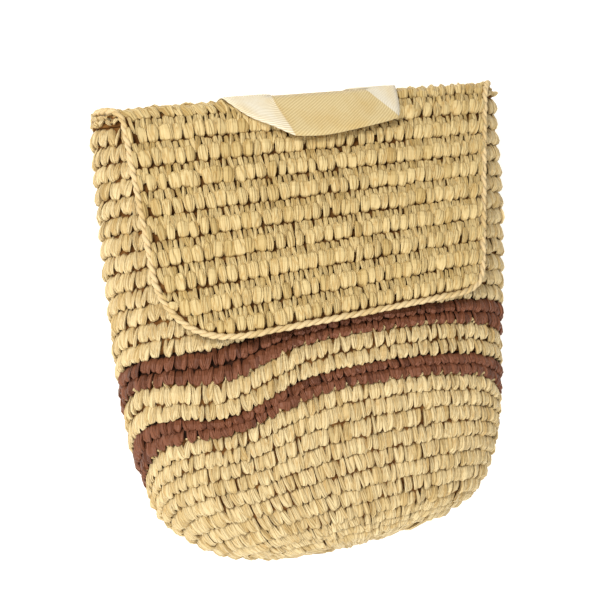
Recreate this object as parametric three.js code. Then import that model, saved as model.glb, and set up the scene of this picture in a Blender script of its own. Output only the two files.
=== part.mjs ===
// A crocheted straw backpack lying on its back, in millimetres.
// X runs across the bag, Y from its bottom towards its mouth, and Z up from the floor.
import * as THREE from "three";

// Pouch
const pouchLength = 327; // from the bottom ring to the mouth's rim
const pouchHalfWidth = 150;
const bellyDepth = 94; // thickness of the lying pouch at its fullest section
const wall = 5; // crocheted straw
const frontShare = 0.56; // share of a section's depth that lies above its widest level
const backSquareness = 4; // exponent of the flat back half of a section
const bottomDome = 5; // how far the oval bottom bulges
const seam = 0.3; // gap between pieces that touch

// Flap
const flapWall = 5;
const flapReach = 147; // how far the flap comes down the front
const flapTopHalfWidth = 133;
const flapRootFlare = 17; // how much further out its sides start behind the mouth
const flareHold = 3; // above 1 the flare lasts longer round the fold
const flapHemHalfWidth = 109;
const flapHemShift = -13; // sideways drift of the flap's hem
const flapHemTurn = 0.09; // slope of the hem across the bag
const rollLead = 2; // straight start of the flap behind the mouth
const rollReach = 6; // how far the flap's fold then stands out
const flapClearance = 1; // between the flap and the pouch's front
const flapLift = 6; // how far the free hem stands off the front
const flapFlatness = 0.88; // share of its half width at which the flap takes its height from the pouch
const leftCornerRadius = 44;
const rightCornerRadius = 12;
const edgingDiameter = 4.6;

// Webbing
const webbingThickness = 1.6;
const handleWidth = 34;
const handleSpan = 128; // across both legs of the handle, outside to outside
const handleShift = -2; // from the middle of the mouth
const handleDrop = 24; // how far the handle flops down the flap
const handleClearance = 1; // between the webbing and the flap below it
const handleLift = 9; // how far its lower edge stands off the flap
const strapWidth = 24;
const strapAnchor = 38; // length of webbing sewn behind the mouth
const strapDrop = 4; // from the handle's sewn ends down to the straps' upper ends
const strapTopSpread = 16; // centre of a strap's upper end from the middle
const strapFootSpread = 76; // centre of a strap's lower end from the middle
const strapFoot = 64; // height of the lower end above the bottom
const strapFoldRise = 22; // from a strap's lower end up to the lower fold of its slack
const strapFoldFall = 23; // from its upper end down to the upper fold
const layerGap = 0.5; // between layers of folded webbing

// Sections of the pouch, one for each listed crochet row, counted from the bottom's edge.
// along is a share of pouchLength, side and width of pouchHalfWidth, depth and lift of bellyDepth.
// lean moves a section's front towards the mouth for each millimetre of height, turn for each one across.
// hollow is a share of pouchLength: how far the front's slack draws a section down in the fold left of its middle.
const sections = [
  { row: 0, along: 0.036, side: 0.03, width: 0.44, depth: 0.7, lift: 0.08, lean: 0.31, turn: 0.08, hollow: 0, crown: 2.3 },
  { row: 3, along: 0.074, side: 0.01, width: 0.65, depth: 0.86, lift: 0.03, lean: 0.38, turn: 0.075, hollow: 0, crown: 2.3 },
  { row: 7, along: 0.171, side: -0.05, width: 0.83, depth: 0.96, lift: 0, lean: 0.58, turn: 0.065, hollow: 0.018, crown: 2.4 },
  { row: 11, along: 0.276, side: -0.075, width: 0.895, depth: 1, lift: 0, lean: 0.79, turn: 0.054, hollow: 0.046, crown: 2.4 },
  { row: 13, along: 0.343, side: -0.09, width: 0.925, depth: 0.99, lift: 0, lean: 0.63, turn: 0.05, hollow: 0.058, crown: 2.5 },
  { row: 15, along: 0.419, side: -0.09, width: 0.945, depth: 0.96, lift: 0, lean: 0.57, turn: 0.045, hollow: 0.05, crown: 2.5 },
  { row: 17, along: 0.49, side: -0.08, width: 0.965, depth: 0.92, lift: 0, lean: 0.4, turn: 0.06, hollow: 0.021, crown: 2.5 },
  { row: 24, along: 0.77, side: -0.05, width: 1.015, depth: 0.72, lift: 0, lean: 0.08, turn: 0.05, hollow: 0, crown: 2.9 },
  { row: 30, along: 1, side: -0.025, width: 1.035, depth: 0.51, lift: 0, lean: 0, turn: 0.045, hollow: 0, crown: 3.2 },
];
const hollowPlace = -0.6; // middle of that fold, a share of a section's half width
const hollowWidth = 0.3; // the same share from its middle to where it has nearly gone
const bottomRows = 3; // rows that close the oval bottom
const cavityRow = 1; // where the inside of the bottom lies
const mouthRow = sections.at(-1).row;
const stripeRows = { lowerStart: 11, lowerEnd: 13, upperStart: 15, upperEnd: 17 };

// Where the handle's loop lies on the flap, from its left leg to its right one, for its outer and inner edges.
// X is a share of half of handleSpan, Down of handleDrop and Lift of handleLift.
const handleLoop = [
  { outerX: -1.0, outerDown: -0.1, outerLift: 0.0, innerX: -0.5, innerDown: -0.1, innerLift: 0.0 },
  { outerX: -0.76, outerDown: 0.42, outerLift: 0.4, innerX: -0.48, innerDown: -0.09, innerLift: 0.0 },
  { outerX: -0.5, outerDown: 0.86, outerLift: 0.8, innerX: -0.44, innerDown: -0.08, innerLift: 0.0 },
  { outerX: -0.22, outerDown: 1.0, outerLift: 1.0, innerX: -0.22, innerDown: -0.08, innerLift: 0.05 },
  { outerX: 0.0, outerDown: 1.0, outerLift: 1.0, innerX: 0.0, innerDown: -0.08, innerLift: 0.05 },
  { outerX: 0.3, outerDown: 0.93, outerLift: 1.0, innerX: 0.26, innerDown: -0.08, innerLift: 0.05 },
  { outerX: 0.66, outerDown: 0.74, outerLift: 0.8, innerX: 0.44, innerDown: -0.08, innerLift: 0.0 },
  { outerX: 0.84, outerDown: 0.3, outerLift: 0.4, innerX: 0.48, innerDown: -0.09, innerLift: 0.0 },
  { outerX: 1.0, outerDown: -0.1, outerLift: 0.0, innerX: 0.5, innerDown: -0.1, innerLift: 0.0 },
];

// Fineness of the faceted surfaces
const sectionSides = 40;
const flapColumns = 18;
const rollSteps = 6;
const flapSteps = 15;
const hemCrowding = 1.5; // above 1 the steps grow finer towards the hem's corners
const edgingSides = 8;
const edgingSteps = 100;
const foldSides = 6;
const bandSteps = { base: 9, stripe: 2, wall: 7 };
const legDegrees = [-90, -60, -30, 0, 30, 60]; // stations of a handle leg round the flap's fold
const halvings = 24;

const straw = new THREE.MeshStandardMaterial({ color: 0xe6d3a3, roughness: 0.65, metalness: 0 });
const brownStraw = new THREE.MeshStandardMaterial({ color: 0x6f4530, roughness: 0.6, metalness: 0 });
const webbing = new THREE.MeshStandardMaterial({ color: 0xf2e6c4, roughness: 0.85, metalness: 0 });

const strapStack = 3 * webbingThickness + 2 * layerGap; // the two straps lie folded in three layers
const backHeight = strapStack + seam; // underside of the pouch's back panel

// The table's columns at any row, by Hermite pieces whose slopes are the neighbours' differences.
function sectionAt(row) {
  const last = sections.length - 1;
  let i = 0;
  while (i < last - 1 && row > sections[i + 1].row) i++;
  const [a, b] = [sections[i], sections[i + 1]];
  const before = sections[Math.max(i - 1, 0)];
  const after = sections[Math.min(i + 2, last)];
  const span = b.row - a.row;
  const t = (row - a.row) / span;
  const result = {};
  for (const key of Object.keys(a)) {
    const slopeA = ((b[key] - before[key]) / (b.row - before.row)) * span;
    const slopeB = ((after[key] - a[key]) / (after.row - a.row)) * span;
    result[key] =
      (2 * t ** 3 - 3 * t ** 2 + 1) * a[key] + (t ** 3 - 2 * t ** 2 + t) * slopeA +
      (3 * t ** 2 - 2 * t ** 3) * b[key] + (t ** 3 - t ** 2) * slopeB;
  }
  return result;
}

// Signed power, the superellipse's building block.
const power = (value, exponent) => Math.sign(value) * Math.abs(value) ** exponent;

// A point of the pouch: rows below 0 close the bottom, inset moves it into the wall.
function pouchPoint(row, angle, inset = 0) {
  const s = sectionAt(Math.max(row, 0));
  const shrink = 1 + Math.min(row, 0) / bottomRows;
  const depth = s.depth * bellyDepth;
  const up = Math.sin(angle) > 0;
  const exponent = 2 / (up ? s.crown : backSquareness);
  const halfDepth = depth * (up ? frontShare : 1 - frontShare) - inset;
  const share = power(Math.cos(angle), exponent);
  const across = share * (s.width * pouchHalfWidth - inset) * shrink;
  const rise = power(Math.sin(angle), exponent) * halfDepth * shrink;
  const fold = s.hollow * pouchLength * Math.exp(-(((share - hollowPlace) / hollowWidth) ** 2));
  const drawn = up ? fold * power(Math.sin(angle), exponent) : 0;
  return new THREE.Vector3(
    s.side * pouchHalfWidth + across,
    s.along * pouchLength + s.lean * rise + s.turn * across - drawn - bottomDome * (1 - shrink ** 2),
    backHeight + s.lift * bellyDepth + depth * (1 - frontShare) + rise,
  );
}

// One closed loop of the pouch's surface at a row, moved along the bag by shift.
function loopAt(row, inset, shift = 0) {
  return Array.from({ length: sectionSides }, (_, i) => {
    const p = pouchPoint(row, (2 * Math.PI * i) / sectionSides, inset);
    p.y += shift;
    return p;
  });
}

// A closed geometry from triangles of points, turned so that its faces point out.
function solidFrom(triangles) {
  const volume = triangles.reduce((sum, [a, b, c]) => sum + a.dot(b.clone().cross(c)), 0);
  const points = triangles.flatMap(([a, b, c]) => (volume < 0 ? [a, c, b] : [a, b, c]));
  const geometry = new THREE.BufferGeometry().setFromPoints(points);
  geometry.computeVertexNormals();
  return geometry;
}

// The two triangles of a four-cornered face.
const quad = (a, b, c, d) => [[a, b, c], [a, c, d]];

// The faces between each loop and the next; a loop of one point is a pole.
function skin(loops) {
  return loops.slice(1).flatMap((next, k) => {
    const loop = loops[k];
    const sides = Math.max(loop.length, next.length);
    return Array.from({ length: sides }, (_, i) => {
      const j = (i + 1) % sides;
      if (loop.length === 1) return [[loop[0], next[j], next[i]]];
      if (next.length === 1) return [[loop[i], loop[j], next[0]]];
      return quad(loop[i], loop[j], next[j], next[i]);
    }).flat();
  });
}

// A band of the pouch's wall between two rows, open at both ends.
function bandSolid(fromRow, toRow, steps) {
  const rows = Array.from({ length: steps + 1 }, (_, k) => fromRow + ((toRow - fromRow) * k) / steps);
  const trim = (row) => (row === fromRow ? seam / 2 : row === toRow && toRow < mouthRow ? -seam / 2 : 0);
  const outer = rows.map((row) => loopAt(row, 0, trim(row)));
  const inner = rows.map((row) => loopAt(row, wall, trim(row))).reverse();
  return solidFrom(skin([...outer, ...inner, outer[0]]));
}

// The lower pouch: the closed bottom and the wall up to the lower stripe.
function baseSolid(toRow, steps) {
  const bottom = Array.from({ length: bottomRows }, (_, k) => loopAt(-k, 0)).reverse();
  const rows = Array.from({ length: steps }, (_, k) => (toRow * (k + 1)) / steps);
  const trim = (row) => (row === toRow ? -seam / 2 : 0);
  const outer = [[pouchPoint(-bottomRows, 0)], ...bottom, ...rows.map((row) => loopAt(row, 0, trim(row)))];
  const innerRows = [cavityRow, ...rows.filter((row) => row > cavityRow)];
  const inner = innerRows.map((row) => loopAt(row, wall, trim(row))).reverse();
  const floorLoop = inner.at(-1);
  const middle = floorLoop.reduce((sum, p) => sum.add(p), new THREE.Vector3()).divideScalar(floorLoop.length);
  return solidFrom(skin([...outer, ...inner, [middle]]));
}

// Height of a surface of the pouch above a place on the floor, found by halving the row interval.
function heightOver(x, y, up, inset = 0) {
  const point = (row) => {
    const s = sectionAt(row);
    const halfWidth = s.width * pouchHalfWidth - inset;
    const share = Math.min(Math.abs((x - s.side * pouchHalfWidth) / halfWidth), 1);
    const exponent = up ? s.crown : backSquareness;
    const angle = Math.acos(share ** (exponent / 2));
    const side = x < s.side * pouchHalfWidth ? Math.PI - angle : angle;
    return pouchPoint(row, up ? side : -side, inset);
  };
  let [low, high] = [0, mouthRow];
  for (let k = 0; k < halvings; k++) {
    const middle = (low + high) / 2;
    if (point(middle).y < y) low = middle;
    else high = middle;
  }
  return point((low + high) / 2).z;
}

const mouth = sectionAt(mouthRow);
const mouthCentre = mouth.side * pouchHalfWidth;
const rimAt = (x) => mouth.along * pouchLength + mouth.turn * (x - mouthCentre);
const ease = (t) => t * t * (3 - 2 * t);

// How far a rounded corner eats into a side, at a distance from the hem.
const cornerInset = (radius, distance) =>
  distance < radius ? radius - Math.sqrt(radius ** 2 - (radius - distance) ** 2) : 0;

// The flap's left and right edges at a share of the way down the front.
function flapEdges(share) {
  const centre = mouthCentre + flapHemShift * share;
  const halfWidth = THREE.MathUtils.lerp(flapTopHalfWidth, flapHemHalfWidth, share);
  const distance = (1 - share) * flapReach;
  return [
    centre - halfWidth + cornerInset(leftCornerRadius, distance),
    centre + halfWidth - cornerInset(rightCornerRadius, distance),
  ];
}

// Middle of the flap's thickness where it lies on the front, at an x and a share of its reach.
function flapFront(x, share) {
  const hem = mouth.along * pouchLength - flapReach + flapHemTurn * (x - mouthCentre);
  const y = THREE.MathUtils.lerp(rimAt(x), hem, share);
  const flatter = mouthCentre + flapFlatness * (x - mouthCentre); // it drops less than the pouch's shoulders
  const rest = heightOver(flatter, Math.min(y, rimAt(flatter)), true);
  return new THREE.Vector3(x, y, rest + flapClearance + flapWall / 2 + flapLift * ease(share) * share);
}

// Middle of the flap's thickness round the mouth, from the back rim at -90 degrees to the front at 90.
function flapRoll(x, angle, outside = 0) {
  const back = heightOver(x, rimAt(x), false) + wall / 2;
  const front = flapFront(x, 0).z;
  const radius = (front - back) / 2;
  const away = new THREE.Vector2(Math.cos(angle) / rollReach, Math.sin(angle) / radius).setLength(outside);
  return new THREE.Vector3(
    x,
    rimAt(x) + seam + rollLead + rollReach * Math.cos(angle) + away.x,
    (back + front) / 2 + radius * Math.sin(angle) + away.y,
  );
}

// Rows of points on the middle of the flap, from the back rim to the hem.
function flapGrid() {
  const row = ([left, right], place) =>
    Array.from({ length: flapColumns + 1 }, (_, j) => place(THREE.MathUtils.lerp(left, right, j / flapColumns)));
  const rollEdges = (share) => {
    const halfWidth = flapTopHalfWidth + flapRootFlare * (1 - share ** flareHold);
    return [mouthCentre - halfWidth, mouthCentre + halfWidth];
  };
  const root = row(rollEdges(0), (x) => flapRoll(x, -Math.PI / 2).setY(rimAt(x) + seam));
  const roll = Array.from({ length: rollSteps }, (_, k) =>
    row(rollEdges(k / rollSteps), (x) => flapRoll(x, -Math.PI / 2 + (Math.PI * k) / rollSteps)));
  const shares = Array.from({ length: flapSteps + 1 }, (_, k) => 1 - (1 - k / flapSteps) ** hemCrowding);
  const front = shares.map((share) => row(flapEdges(share), (x) => flapFront(x, share)));
  return [root, ...roll, ...front];
}

// Normals of a grid of points, from the differences of its neighbours.
function gridNormals(grid) {
  const clampIndex = (list, i) => list[THREE.MathUtils.clamp(i, 0, list.length - 1)];
  return grid.map((line, i) => line.map((_, j) => {
    const along = clampIndex(grid, i + 1)[j].clone().sub(clampIndex(grid, i - 1)[j]);
    const across = clampIndex(line, j + 1).clone().sub(clampIndex(line, j - 1));
    return along.cross(across).normalize();
  }));
}

// A closed sheet of even thickness about a grid of points.
function sheetSolid(grid, thickness) {
  const normals = gridNormals(grid);
  const offset = (side) => grid.map((line, i) => line.map((p, j) =>
    p.clone().addScaledVector(normals[i][j], (side * thickness) / 2)));
  const [top, under] = [offset(1), offset(-1)];
  const triangles = [];
  const [lastLine, lastColumn] = [grid.length - 1, grid[0].length - 1];
  for (let i = 0; i < lastLine; i++) {
    for (let j = 0; j < lastColumn; j++) {
      triangles.push(...quad(top[i][j], top[i][j + 1], top[i + 1][j + 1], top[i + 1][j]));
      triangles.push(...quad(under[i][j], under[i + 1][j], under[i + 1][j + 1], under[i][j + 1]));
    }
    triangles.push(...quad(top[i][0], top[i + 1][0], under[i + 1][0], under[i][0]));
    triangles.push(...quad(
      top[i][lastColumn], under[i][lastColumn], under[i + 1][lastColumn], top[i + 1][lastColumn]));
  }
  for (let j = 0; j < lastColumn; j++) {
    triangles.push(...quad(top[0][j], under[0][j], under[0][j + 1], top[0][j + 1]));
    triangles.push(...quad(
      top[lastLine][j], top[lastLine][j + 1], under[lastLine][j + 1], under[lastLine][j]));
  }
  return solidFrom(triangles);
}

// The rope-like edging: a tube beside the flap's two sides and hem.
function edgingSolid(grid) {
  const normals = gridNormals(grid);
  const border = (table) => [
    ...table.map((line) => line[0]),
    ...table.at(-1).slice(1, -1),
    ...table.map((line) => line.at(-1)).reverse(),
  ];
  const [points, tilts] = [border(grid), border(normals)];
  const beside = points.map((p, k) => {
    const ahead = points[Math.min(k + 1, points.length - 1)].clone().sub(points[Math.max(k - 1, 0)]);
    const away = ahead.cross(tilts[k]).normalize();
    return p.clone().addScaledVector(away, edgingDiameter / 2 + 2 * seam);
  });
  const path = new THREE.CatmullRomCurve3(beside, false, "centripetal");
  const section = new THREE.Shape(Array.from({ length: edgingSides }, (_, i) => {
    const angle = (2 * Math.PI * i) / edgingSides;
    return new THREE.Vector2(Math.cos(angle), Math.sin(angle)).multiplyScalar(edgingDiameter / 2);
  }));
  return new THREE.ExtrudeGeometry(section, { steps: edgingSteps, bevelEnabled: false, extrudePath: path });
}

// The carrying handle: its two edges go from behind the mouth over the flap's fold, and lie on the flap between.
function handleGrid() {
  const outside = flapWall / 2 + webbingThickness / 2 + handleClearance;
  const under = backHeight - seam - webbingThickness / 2;
  const half = handleSpan / 2;
  const middle = mouthCentre + handleShift;
  const leg = (side) => {
    const outerX = middle + side * half;
    const innerX = middle + side * (half - handleWidth);
    const behind = (x, y) => new THREE.Vector3(x, y, under);
    const sewn = [0, 0.5, 1].map((t) =>
      [outerX, innerX].map((x) => behind(x, rimAt(x) - strapAnchor * (1 - t))));
    const over = legDegrees.map((degrees) =>
      [outerX, innerX].map((x) => flapRoll(x, THREE.MathUtils.degToRad(degrees), outside)));
    return [...sewn, ...over];
  };
  const onFlap = (share, down, lift) => {
    const x = middle + share * half;
    const height = outside + lift * handleLift;
    if (down < 0) return flapRoll(x, Math.acos(Math.max(-1, (-down * handleDrop) / rollReach)), height);
    const place = flapFront(x, (down * handleDrop) / flapReach);
    place.z += height;
    return place;
  };
  const loop = handleLoop.map((r) =>
    [onFlap(r.outerX, r.outerDown, r.outerLift), onFlap(r.innerX, r.innerDown, r.innerLift)]);
  const line = ([outer, inner]) => [outer, outer.clone().lerp(inner, 0.5), inner];
  return [...leg(-1), ...loop, ...leg(1).reverse()].map(line);
}

// A shoulder strap under the bag: sewn at the top, its slack folded back twice, sewn again near the bottom.
function strapGrid(side) {
  const level = (layer) => webbingThickness / 2 + layer * (webbingThickness + layerGap);
  const radius = (webbingThickness + layerGap) / 2;
  const fold = (y, layer, direction) =>
    Array.from({ length: foldSides + 1 }, (_, k) => {
      const angle = Math.PI / 2 - (Math.PI * k) / foldSides;
      return [y + direction * radius * Math.cos(angle), level(layer) - radius + radius * Math.sin(angle)];
    });
  const top = rimAt(mouthCentre) - strapAnchor - strapDrop;
  const foldLow = strapFoot + strapFoldRise;
  const foldHigh = top - strapFoldFall;
  const profile = [
    [top, level(2)],
    ...fold(foldLow, 2, -1),
    ...fold(foldHigh, 1, 1),
    [foldLow - 2 * radius, level(0)],
    [(foldLow + strapFoot) / 2 - 2 * radius, level(1)],
    [strapFoot, level(2)],
    [strapFoot - strapAnchor / 2, level(2)],
  ];
  const lengthwise = new THREE.Vector2(
    side * (strapFootSpread - strapTopSpread), -(top - strapFoot)).normalize();
  const across = new THREE.Vector3(-lengthwise.y, lengthwise.x, 0).multiplyScalar(strapWidth / 2);
  return profile.map(([y, z]) => {
    const x = mouthCentre + side * strapTopSpread + (lengthwise.x * (top - y)) / -lengthwise.y;
    const centre = new THREE.Vector3(x, y, z);
    return [centre.clone().sub(across), centre.clone().add(across)];
  });
}

function piece(name, geometry, material) {
  const mesh = new THREE.Mesh(geometry, material);
  mesh.name = name;
  return mesh;
}

const pouch = new THREE.Group();
pouch.add(
  piece("pouch_base", baseSolid(stripeRows.lowerStart, bandSteps.base), straw),
  piece("lower_stripe", bandSolid(stripeRows.lowerStart, stripeRows.lowerEnd, bandSteps.stripe), brownStraw),
  piece("middle_band", bandSolid(stripeRows.lowerEnd, stripeRows.upperStart, bandSteps.stripe), straw),
  piece("upper_stripe", bandSolid(stripeRows.upperStart, stripeRows.upperEnd, bandSteps.stripe), brownStraw),
  piece("upper_wall", bandSolid(stripeRows.upperEnd, mouthRow, bandSteps.wall), straw),
);

const flap = flapGrid();
const cover = new THREE.Group();
cover.add(
  piece("flap", sheetSolid(flap, flapWall), straw),
  piece("flap_edging", edgingSolid(flap), straw),
);

const carrying = new THREE.Group();
carrying.add(
  piece("top_handle", sheetSolid(handleGrid(), webbingThickness), webbing),
  piece("shoulder_strap_left", sheetSolid(strapGrid(-1), webbingThickness), webbing),
  piece("shoulder_strap_right", sheetSolid(strapGrid(1), webbingThickness), webbing),
);

// The finished bag, with the origin on the floor under the middle of its box.
const backpack = new THREE.Group();
backpack.add(pouch, cover, carrying);
const box = new THREE.Box3().setFromObject(backpack);
const middle = box.getCenter(new THREE.Vector3());
backpack.position.set(-middle.x, -middle.y, -box.min.z);

export default backpack;
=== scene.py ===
import math

import bpy
import numpy as np
from mathutils import Matrix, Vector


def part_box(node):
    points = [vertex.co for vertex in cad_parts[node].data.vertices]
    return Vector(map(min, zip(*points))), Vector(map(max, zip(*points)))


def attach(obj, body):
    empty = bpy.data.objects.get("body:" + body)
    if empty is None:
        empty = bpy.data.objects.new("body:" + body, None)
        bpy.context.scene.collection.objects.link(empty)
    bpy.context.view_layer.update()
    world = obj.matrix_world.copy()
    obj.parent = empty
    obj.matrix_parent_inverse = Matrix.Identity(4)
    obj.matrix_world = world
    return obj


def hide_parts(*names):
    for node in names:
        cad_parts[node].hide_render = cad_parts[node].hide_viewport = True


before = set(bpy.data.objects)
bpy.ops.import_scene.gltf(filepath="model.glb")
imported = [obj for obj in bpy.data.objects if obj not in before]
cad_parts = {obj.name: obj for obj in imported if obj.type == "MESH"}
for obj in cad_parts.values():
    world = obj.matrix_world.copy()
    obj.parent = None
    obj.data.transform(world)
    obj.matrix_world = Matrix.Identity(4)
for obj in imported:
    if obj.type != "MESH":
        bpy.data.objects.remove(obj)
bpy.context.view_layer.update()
mm = 0.001
tiny = 1e-12  # a vector's length counts as at least this when it is divided by it
rng = np.random.default_rng(20)
print("frame loaded")

# Camera
camera = {
    "place": (-0.1889, 0.0327, 0.6354),  # metres
    "lens": 51.0,
    "sensor": 36.0,
    "tilt": 16.0,   # degrees from looking straight down, towards the viewer's right
    "roll": 5.0,    # degrees that the bag's width rises to the right
}


def addCamera():
    # The camera's Z axis leans from the bag's by tilt along X, its X axis rises by roll, and Y is their
    # cross product
    up = np.array([math.sin(math.radians(camera["tilt"])), 0, math.cos(math.radians(camera["tilt"]))])
    right = np.array([math.cos(math.radians(camera["roll"])), math.sin(math.radians(camera["roll"])), 0])
    across = right - up * (right @ up)
    across /= np.linalg.norm(across)
    turn = np.array([across, np.cross(up, across), up])
    data = bpy.data.cameras.new("photo_camera")
    data.lens = camera["lens"]
    data.sensor_width = camera["sensor"]
    data.clip_start = 0.01
    eye = bpy.data.objects.new("photo_camera", data)
    bpy.context.collection.objects.link(eye)
    eye.matrix_world = Matrix.Translation(camera["place"]) @ Matrix(turn.tolist()).to_4x4()
    bpy.context.scene.camera = eye


addCamera()

# Pouch: the same sections as the solids, in rows of crochet counted from the bottom's edge
pouch = {
    "length": 0.327,      # from the bottom ring to the mouth's rim
    "halfWidth": 0.150,
    "depth": 0.094,       # thickness at its fullest section
    "back": 0.0061,       # height of the back panel above the floor
    "frontShare": 0.56,   # part of the depth above the widest level
    "backSquareness": 4.0,
    "bottomDome": 0.005,  # how far the oval bottom bulges
    "bottomRows": 3,      # rows that close it
    "lowestRow": -2.98,   # the rings start here, since a ring at -bottomRows has no length
    "hollowPlace": -0.6,  # middle of the fold left of the belly's middle, a share of the half width
    "hollowWidth": 0.3,   # of the fold, a share of the half width too
    "wall": 0.005,
}
sectionRows = np.array([0, 3, 7, 11, 13, 15, 17, 24, 30.0])
# along and hollow are shares of the length, side and width of halfWidth, depth and lift of the depth. lean
# moves a section's front towards the mouth for each metre of height, turn for each one across, hollow
# draws its front down in the fold, and crown is the exponent of its front half
sectionTable = {
    "along": [0.036, 0.074, 0.171, 0.276, 0.343, 0.419, 0.49, 0.77, 1.0],
    "side": [0.03, 0.01, -0.05, -0.075, -0.09, -0.09, -0.08, -0.05, -0.025],
    "width": [0.44, 0.65, 0.83, 0.895, 0.925, 0.945, 0.965, 1.015, 1.035],
    "depth": [0.7, 0.86, 0.96, 1.0, 0.99, 0.96, 0.92, 0.72, 0.51],
    "lift": [0.08, 0.03, 0.0, 0.0, 0.0, 0.0, 0.0, 0.0, 0.0],
    "lean": [0.31, 0.38, 0.58, 0.79, 0.63, 0.57, 0.4, 0.08, 0.0],
    "turn": [0.08, 0.075, 0.065, 0.054, 0.05, 0.045, 0.06, 0.05, 0.045],
    "hollow": [0.0, 0.0, 0.018, 0.046, 0.058, 0.05, 0.021, 0.0, 0.0],
    "crown": [2.3, 2.3, 2.4, 2.4, 2.5, 2.5, 2.5, 2.9, 3.2],
}


def sectionAt(rows):
    # Each column at any row, by Hermite pieces whose slopes are the differences of the knots on both sides
    rows = np.asarray(rows, float)
    last = len(sectionRows) - 1
    i = np.clip(np.searchsorted(sectionRows, rows, side="right") - 1, 0, last - 1)
    before, after = np.maximum(i - 1, 0), np.minimum(i + 2, last)
    span = sectionRows[i + 1] - sectionRows[i]
    t = (rows - sectionRows[i]) / span
    found = {}
    for name, column in sectionTable.items():
        v = np.array(column)
        slopeA = (v[i + 1] - v[before]) / (sectionRows[i + 1] - sectionRows[before]) * span
        slopeB = (v[after] - v[i]) / (sectionRows[after] - sectionRows[i]) * span
        found[name] = ((2 * t**3 - 3 * t**2 + 1) * v[i] + (t**3 - 2 * t**2 + t) * slopeA
                       + (3 * t**2 - 2 * t**3) * v[i + 1] + (t**3 - t**2) * slopeB)
    return found


def power(value, exponent):
    # |value| to the exponent, with the sign of value
    return np.sign(value) * np.abs(value) ** exponent


def pouchPoint(rows, angle):
    # A leaning ring whose upper and lower halves are superellipses; rows below 0 shrink it to the middle
    # of the bottom
    s = sectionAt(np.maximum(rows, 0))
    shrink = 1 + np.minimum(rows, 0) / pouch["bottomRows"]
    depth = s["depth"] * pouch["depth"]
    up = np.sin(angle) > 0
    exponent = 2 / np.where(up, s["crown"], pouch["backSquareness"])
    share = np.where(up, pouch["frontShare"], 1 - pouch["frontShare"])
    place, high = power(np.cos(angle), exponent), power(np.sin(angle), exponent)
    across = place * (s["width"] * pouch["halfWidth"]) * shrink
    rise = high * (depth * share) * shrink
    fold = np.exp(-((place - pouch["hollowPlace"]) / pouch["hollowWidth"]) ** 2)
    drawn = s["hollow"] * pouch["length"] * fold * np.maximum(high, 0)
    x = s["side"] * pouch["halfWidth"] + across
    dome = pouch["bottomDome"] * (1 - shrink**2)
    y = s["along"] * pouch["length"] + s["lean"] * rise + s["turn"] * across - drawn - dome
    z = pouch["back"] + s["lift"] * pouch["depth"] + depth * (1 - pouch["frontShare"]) + rise
    return np.stack([x, y, z], -1)


# The drawing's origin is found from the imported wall, whose highest X and Y are its rim's right corner
rimCorner = pouchPoint(np.array(sectionRows[-1]), np.array(0.0))
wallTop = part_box("upper_wall")[1]
origin = np.array([wallTop[0] - rimCorner[0], wallTop[1] - rimCorner[1], 0.0])
print("origin in the frame", origin.round(5).tolist())


def makeSurface(points, vLow, vHigh, closed):
    # A grid of points [v, u] with its normals, the cross product of its differences along u and v, to be
    # read at any (u, v); closed joins the last u to the first
    alongU = np.roll(points, -1, 1) - np.roll(points, 1, 1)
    if not closed:
        alongU[:, 0] = points[:, 1] - points[:, 0]
        alongU[:, -1] = points[:, -1] - points[:, -2]
    alongV = np.gradient(points, axis=0)
    normals = np.cross(alongU, alongV)
    normals /= np.maximum(np.linalg.norm(normals, axis=-1, keepdims=True), tiny)
    return {"points": points, "normals": normals, "vLow": vLow, "vHigh": vHigh, "closed": closed}


def readSurface(surface, u, v, height=0.0):
    # Place on the surface by bilinear interpolation, moved out along the normal by height
    points, normals = surface["points"], surface["normals"]
    countV, countU = points.shape[:2]
    a = np.clip((v - surface["vLow"]) / (surface["vHigh"] - surface["vLow"]), 0, 1) * (countV - 1)
    i = np.clip(np.floor(a).astype(int), 0, countV - 2)
    fv = (a - i)[..., None]
    if surface["closed"]:
        b = np.mod(u, 1.0) * countU
        j = np.floor(b).astype(int) % countU
        k = (j + 1) % countU
        fu = (b - np.floor(b))[..., None]
    else:
        b = np.clip(u, 0, 1) * (countU - 1)
        j = np.clip(np.floor(b).astype(int), 0, countU - 2)
        k = j + 1
        fu = (b - j)[..., None]

    def mixed(grid):
        low = grid[i, j] * (1 - fu) + grid[i, k] * fu
        high = grid[i + 1, j] * (1 - fu) + grid[i + 1, k] * fu
        return low * (1 - fv) + high * fv

    normal = mixed(normals)
    normal /= np.maximum(np.linalg.norm(normal, axis=-1, keepdims=True), tiny)
    return mixed(points) + normal * np.asarray(height)[..., None], normal


def pouchSurface(perRow=6, columns=640, samples=4001):
    # Rings of the pouch, each laid out evenly by its own length and turned round, so that u starts at the
    # middle of the back and the normals point out
    rowLow, rowHigh = -float(pouch["bottomRows"]), float(sectionRows[-1])
    rows = np.linspace(rowLow, rowHigh, int((rowHigh - rowLow) * perRow) + 1)
    rows[0] = pouch["lowestRow"]
    fine = -math.pi / 2 + 2 * math.pi * np.linspace(0, 1, samples)
    ring = pouchPoint(rows[:, None], fine[None, :]) + origin
    steps = np.linalg.norm(np.diff(ring, axis=1), axis=-1)
    walked = np.concatenate([np.zeros((len(rows), 1)), np.cumsum(steps, 1)], 1)
    wanted = np.linspace(0, 1, columns, endpoint=False)
    points = np.empty((len(rows), columns, 3))
    for r, way in enumerate(walked):
        for axis in range(3):
            points[r, ::-1, axis] = np.interp(wanted * way[-1], way, ring[r, :, axis])
    surface = makeSurface(points, rowLow, rowHigh, True)
    surface["girth"] = walked[:, -1]
    surface["rows"] = rows
    return surface


wholePouch = pouchSurface()
print("pouch surface", wholePouch["points"].shape)

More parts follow.
